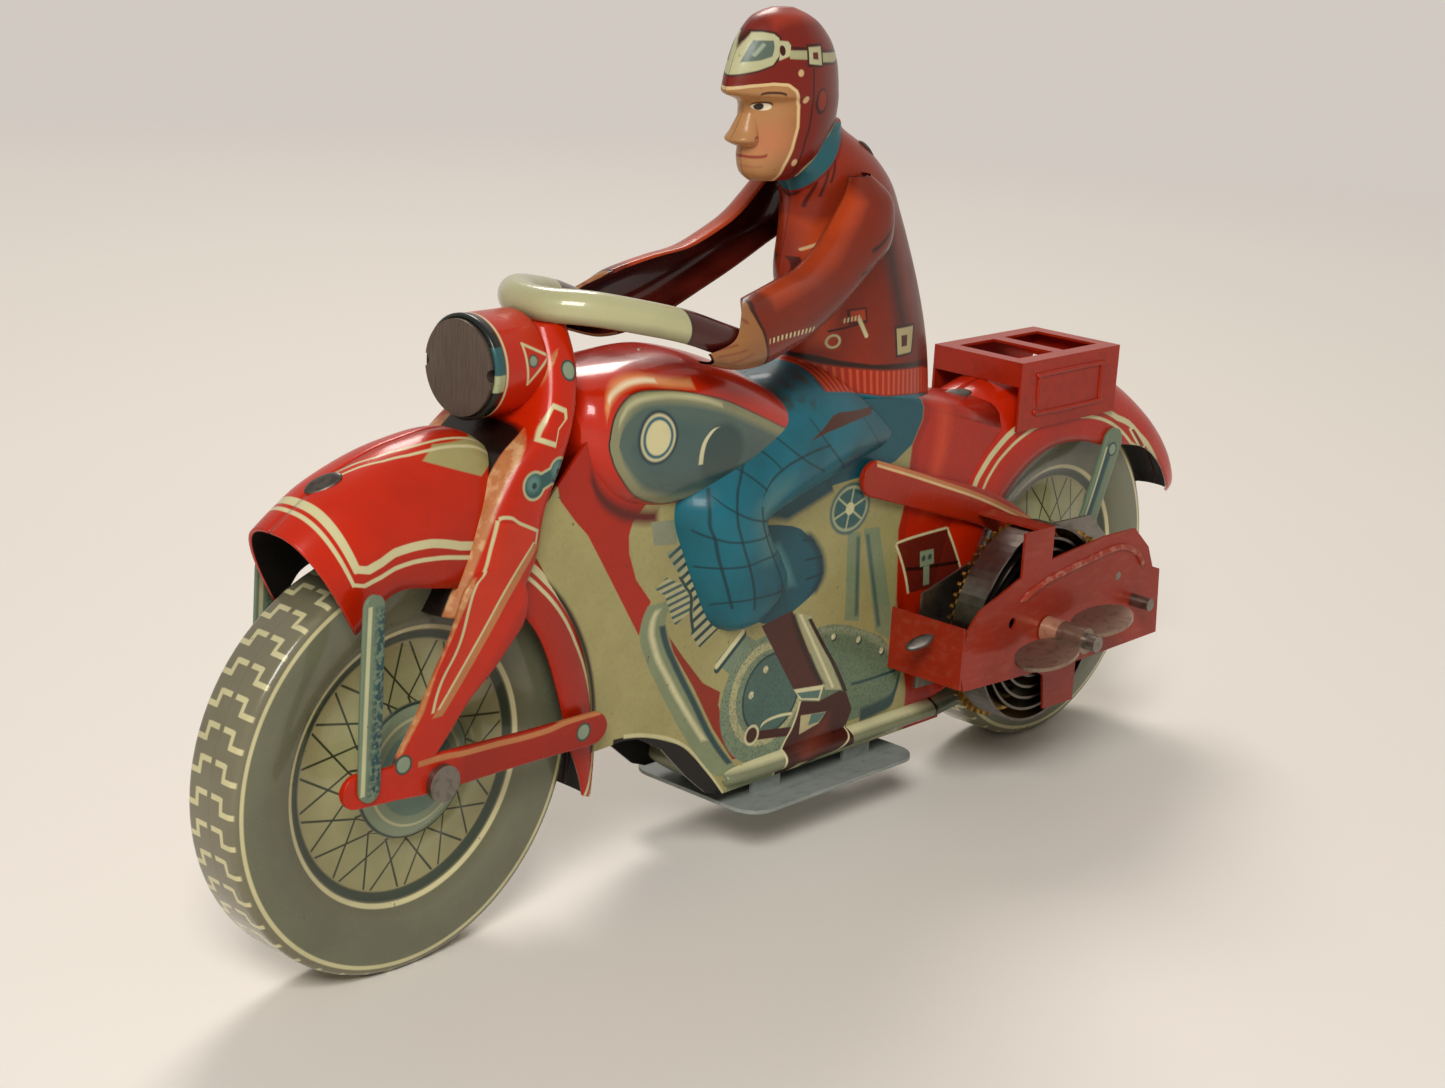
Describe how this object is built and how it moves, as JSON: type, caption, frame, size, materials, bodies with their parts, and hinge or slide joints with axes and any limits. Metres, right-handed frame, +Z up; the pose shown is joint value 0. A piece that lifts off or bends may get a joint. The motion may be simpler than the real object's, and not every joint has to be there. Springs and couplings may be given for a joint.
{
  "type": "wind-up tinplate motorcycle with rider",
  "caption": "Lithographed tinplate clockwork motorcycle with a seated rider, a side-mounted spring motor with butterfly key, rolling wheels and a luggage rack.",
  "frame": {"origin": "on the floor below the middle of the machine, in the seam plane between the two pressings", "axes": "-X towards the front wheel, -Y towards the key side, +Z up"},
  "size_m": [0.2949, 0.0703, 0.1752],
  "materials": {
    "litho_body": "glossy colour print on tinplate",
    "litho_arm": "glossy colour print on tinplate",
    "litho_bar": "glossy colour print on tinplate",
    "lamp_steel": "dark brushed tinplate",
    "grey_plate": "satin grey tinplate",
    "rack_red": "glossy red lacquer on tinplate",
    "litho_wheel": "glossy colour print on tinplate",
    "axle_steel": "turned steel",
    "works_steel": "pressed steel",
    "spring_steel": "hardened spring steel",
    "gear_brass": "stamped brass",
    "plate_red": "dull red lacquer on tinplate",
    "key_copper": "worn copper plating",
    "key_steel": "dull worn steel"
  },
  "bodies": {
    "chassis": {"left_half": "litho_body", "right_half": "litho_body", "left_arm": "litho_arm", "right_arm": "litho_arm", "handlebar": "litho_bar", "headlamp_disc": "lamp_steel", "base_plate": "grey_plate", "luggage_rack": "rack_red", "front_axle": "axle_steel", "inner_plate": "works_steel", "outer_plate": "plate_red", "plate_pillars": "works_steel", "mainspring": "spring_steel"},
    "front_wheel": {"front_wheel_left": "litho_wheel", "front_wheel_right": "litho_wheel", "front_bush": "axle_steel"},
    "rear_wheel": {"rear_axle": "axle_steel", "rear_wheel_left": "litho_wheel", "rear_wheel_right": "litho_wheel", "rear_bush": "axle_steel", "axle_pinion": "gear_brass"},
    "second_arbor_set": {"second_arbor": "axle_steel", "second_pinion": "gear_brass", "second_gear": "gear_brass"},
    "great_wheel_set": {"great_wheel": "works_steel", "click": "works_steel", "click_rivet": "works_steel", "click_spring": "spring_steel"},
    "winder": {"winding_arbor": "axle_steel", "ratchet_wheel": "works_steel", "key_sleeve": "key_copper", "key_wings": "key_steel"}
  },
  "joints": [
    {"name": "front_wheel_spin", "type": "hinge", "parent": "chassis", "child": "front_wheel", "pos_m": [-0.108, 0, 0.04], "axis": [0, 1, 0], "continuous": true},
    {"name": "rear_wheel_spin", "type": "hinge", "parent": "chassis", "child": "rear_wheel", "pos_m": [0.092, 0, 0.04], "axis": [0, 1, 0], "continuous": true},
    {"name": "second_arbor_spin", "type": "hinge", "parent": "chassis", "child": "second_arbor_set", "pos_m": [0.08479, 0, 0.04721], "axis": [0, 1, 0], "continuous": true},
    {"name": "great_wheel_spin", "type": "hinge", "parent": "chassis", "child": "great_wheel_set", "pos_m": [0.05691, 0, 0.04], "axis": [0, 1, 0], "continuous": true},
    {"name": "key_wind", "type": "hinge", "parent": "chassis", "child": "winder", "pos_m": [0.05691, 0, 0.04], "axis": [0, 1, 0], "range_deg": [0, 2070]}
  ],
  "couplings": [
    {"joint": "second_arbor_spin", "follows": "rear_wheel_spin", "ratio": -0.41667},
    {"joint": "great_wheel_spin", "follows": "rear_wheel_spin", "ratio": 0.11905}
  ]
}
